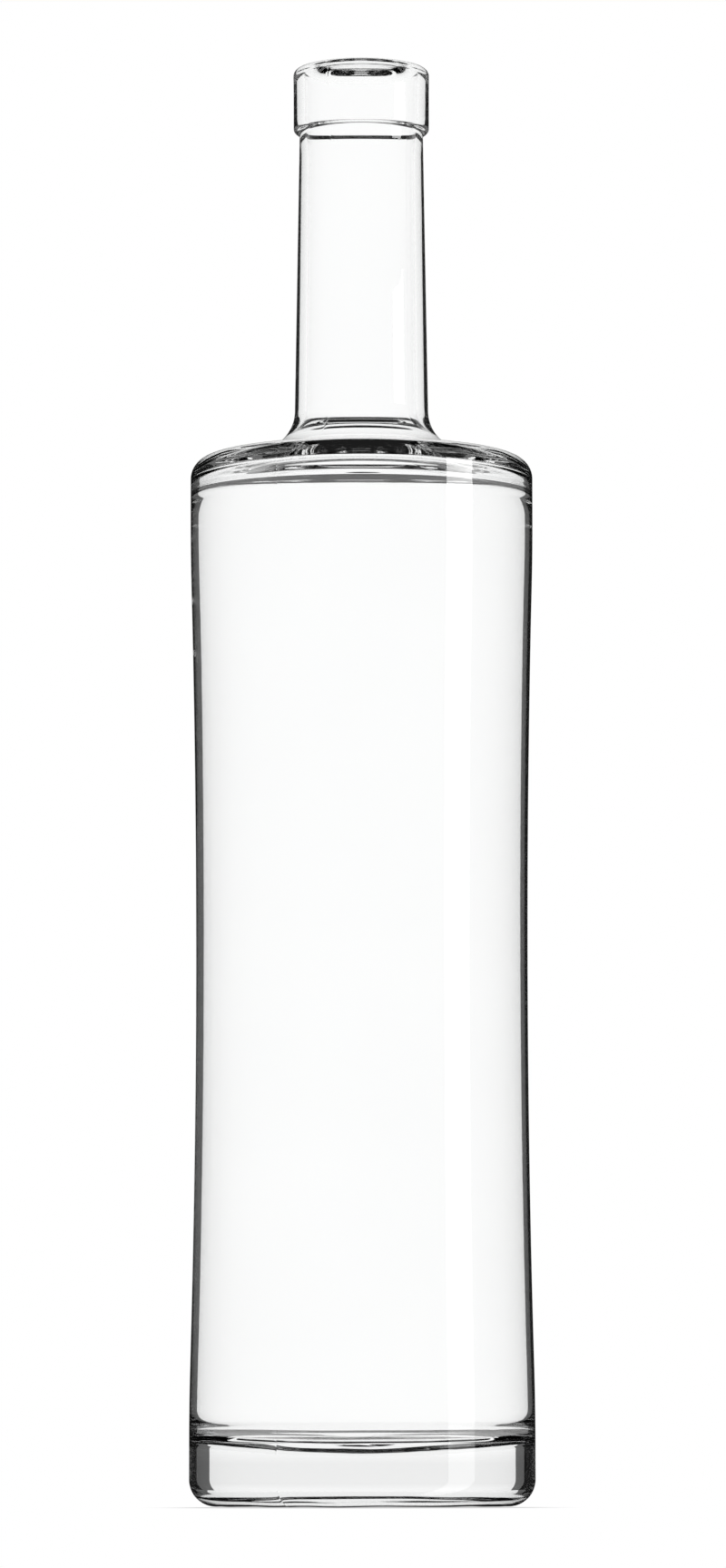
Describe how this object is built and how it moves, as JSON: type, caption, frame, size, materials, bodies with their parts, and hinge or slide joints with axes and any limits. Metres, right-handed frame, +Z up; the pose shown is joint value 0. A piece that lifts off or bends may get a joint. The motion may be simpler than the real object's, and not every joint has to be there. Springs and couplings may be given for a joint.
{
  "type": "wine bottle",
  "caption": "Tall clear glass bottle with a long neck, ringed mouth, flat shoulder, slight waist and heavy foot, brimful of a clear drink for pouring.",
  "frame": {"origin": "middle of the face that the bottle stands on", "axes": "+Z up along the axis of the bottle, towards the mouth; X and Y are alike, because the bottle is turned about Z"},
  "size_m": [0.0738, 0.0738, 0.31],
  "materials": {
    "flint_glass": "gloss",
    "clear_drink": "gloss"
  },
  "bodies": {
    "root": {"glass_bottle": "flint_glass", "drink": "clear_drink"}
  },
  "joints": []
}
